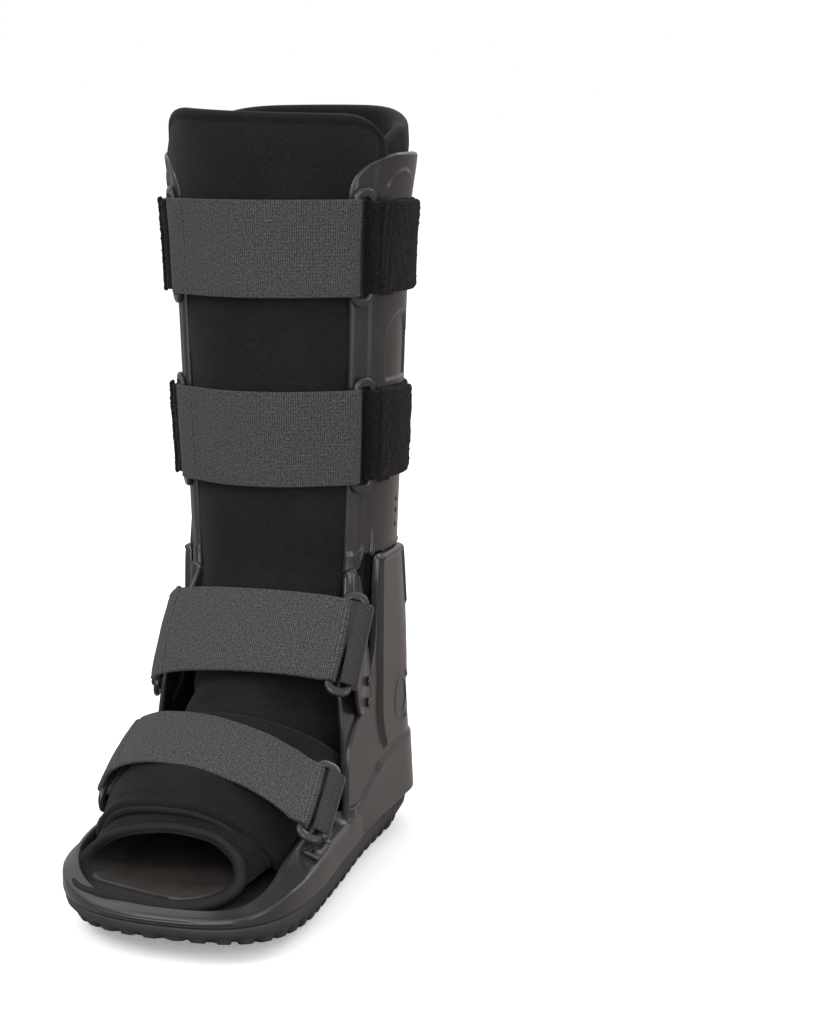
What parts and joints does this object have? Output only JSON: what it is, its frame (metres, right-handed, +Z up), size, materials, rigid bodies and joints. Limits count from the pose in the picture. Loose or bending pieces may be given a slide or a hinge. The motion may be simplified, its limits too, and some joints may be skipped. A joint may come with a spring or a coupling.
{
  "type": "orthopaedic walking boot",
  "caption": "Tall orthopaedic walking boot: plastic shell with a rocker sole and side uprights, padded liner open at the toes, webbing straps on rings over the shin, ankle and forefoot.",
  "frame": {"origin": "on the floor, under the axis of the leg", "axes": "+Z up the leg, -Y towards the toes, +X towards the inner side of the foot (the side of the big toe)"},
  "size_m": [0.145, 0.303, 0.4372],
  "materials": {
    "sole_rubber": "matt",
    "shell_plastic": "satin",
    "liner_cloth": "matt knit over foam",
    "strap_webbing": "ribbed weave",
    "strap_pile": "fuzzy pile",
    "insole_foam": "matt"
  },
  "bodies": {
    "root": {"outsole": "sole_rubber", "lower_shell": "shell_plastic", "liner": "liner_cloth", "shin_flap": "liner_cloth", "toe_flap": "liner_cloth", "insole": "insole_foam", "upright_inner": "shell_plastic", "shell_disc_inner": "shell_plastic", "ankle_tab_inner": "shell_plastic", "forefoot_tab_inner": "shell_plastic", "ankle_rivet_inner_1": "shell_plastic", "forefoot_rivet_inner_1": "shell_plastic", "ankle_rivet_inner_2": "shell_plastic", "forefoot_rivet_inner_2": "shell_plastic", "strap_1_ring_inner": "shell_plastic", "strap_2_ring_inner": "shell_plastic", "strap_3_ring_inner": "shell_plastic", "strap_4_ring_inner": "shell_plastic", "upright_outer": "shell_plastic", "shell_disc_outer": "shell_plastic", "ankle_tab_outer": "shell_plastic", "forefoot_tab_outer": "shell_plastic", "ankle_rivet_outer_1": "shell_plastic", "forefoot_rivet_outer_1": "shell_plastic", "ankle_rivet_outer_2": "shell_plastic", "forefoot_rivet_outer_2": "shell_plastic", "strap_1_ring_outer": "shell_plastic", "strap_2_ring_outer": "shell_plastic", "strap_3_ring_outer": "shell_plastic", "strap_4_ring_outer": "shell_plastic", "strap_1_front": "strap_webbing", "strap_2_front": "strap_webbing", "strap_3_front": "strap_webbing", "strap_4_front": "strap_webbing", "strap_1_back": "strap_pile", "strap_2_back": "strap_pile"}
  },
  "joints": []
}
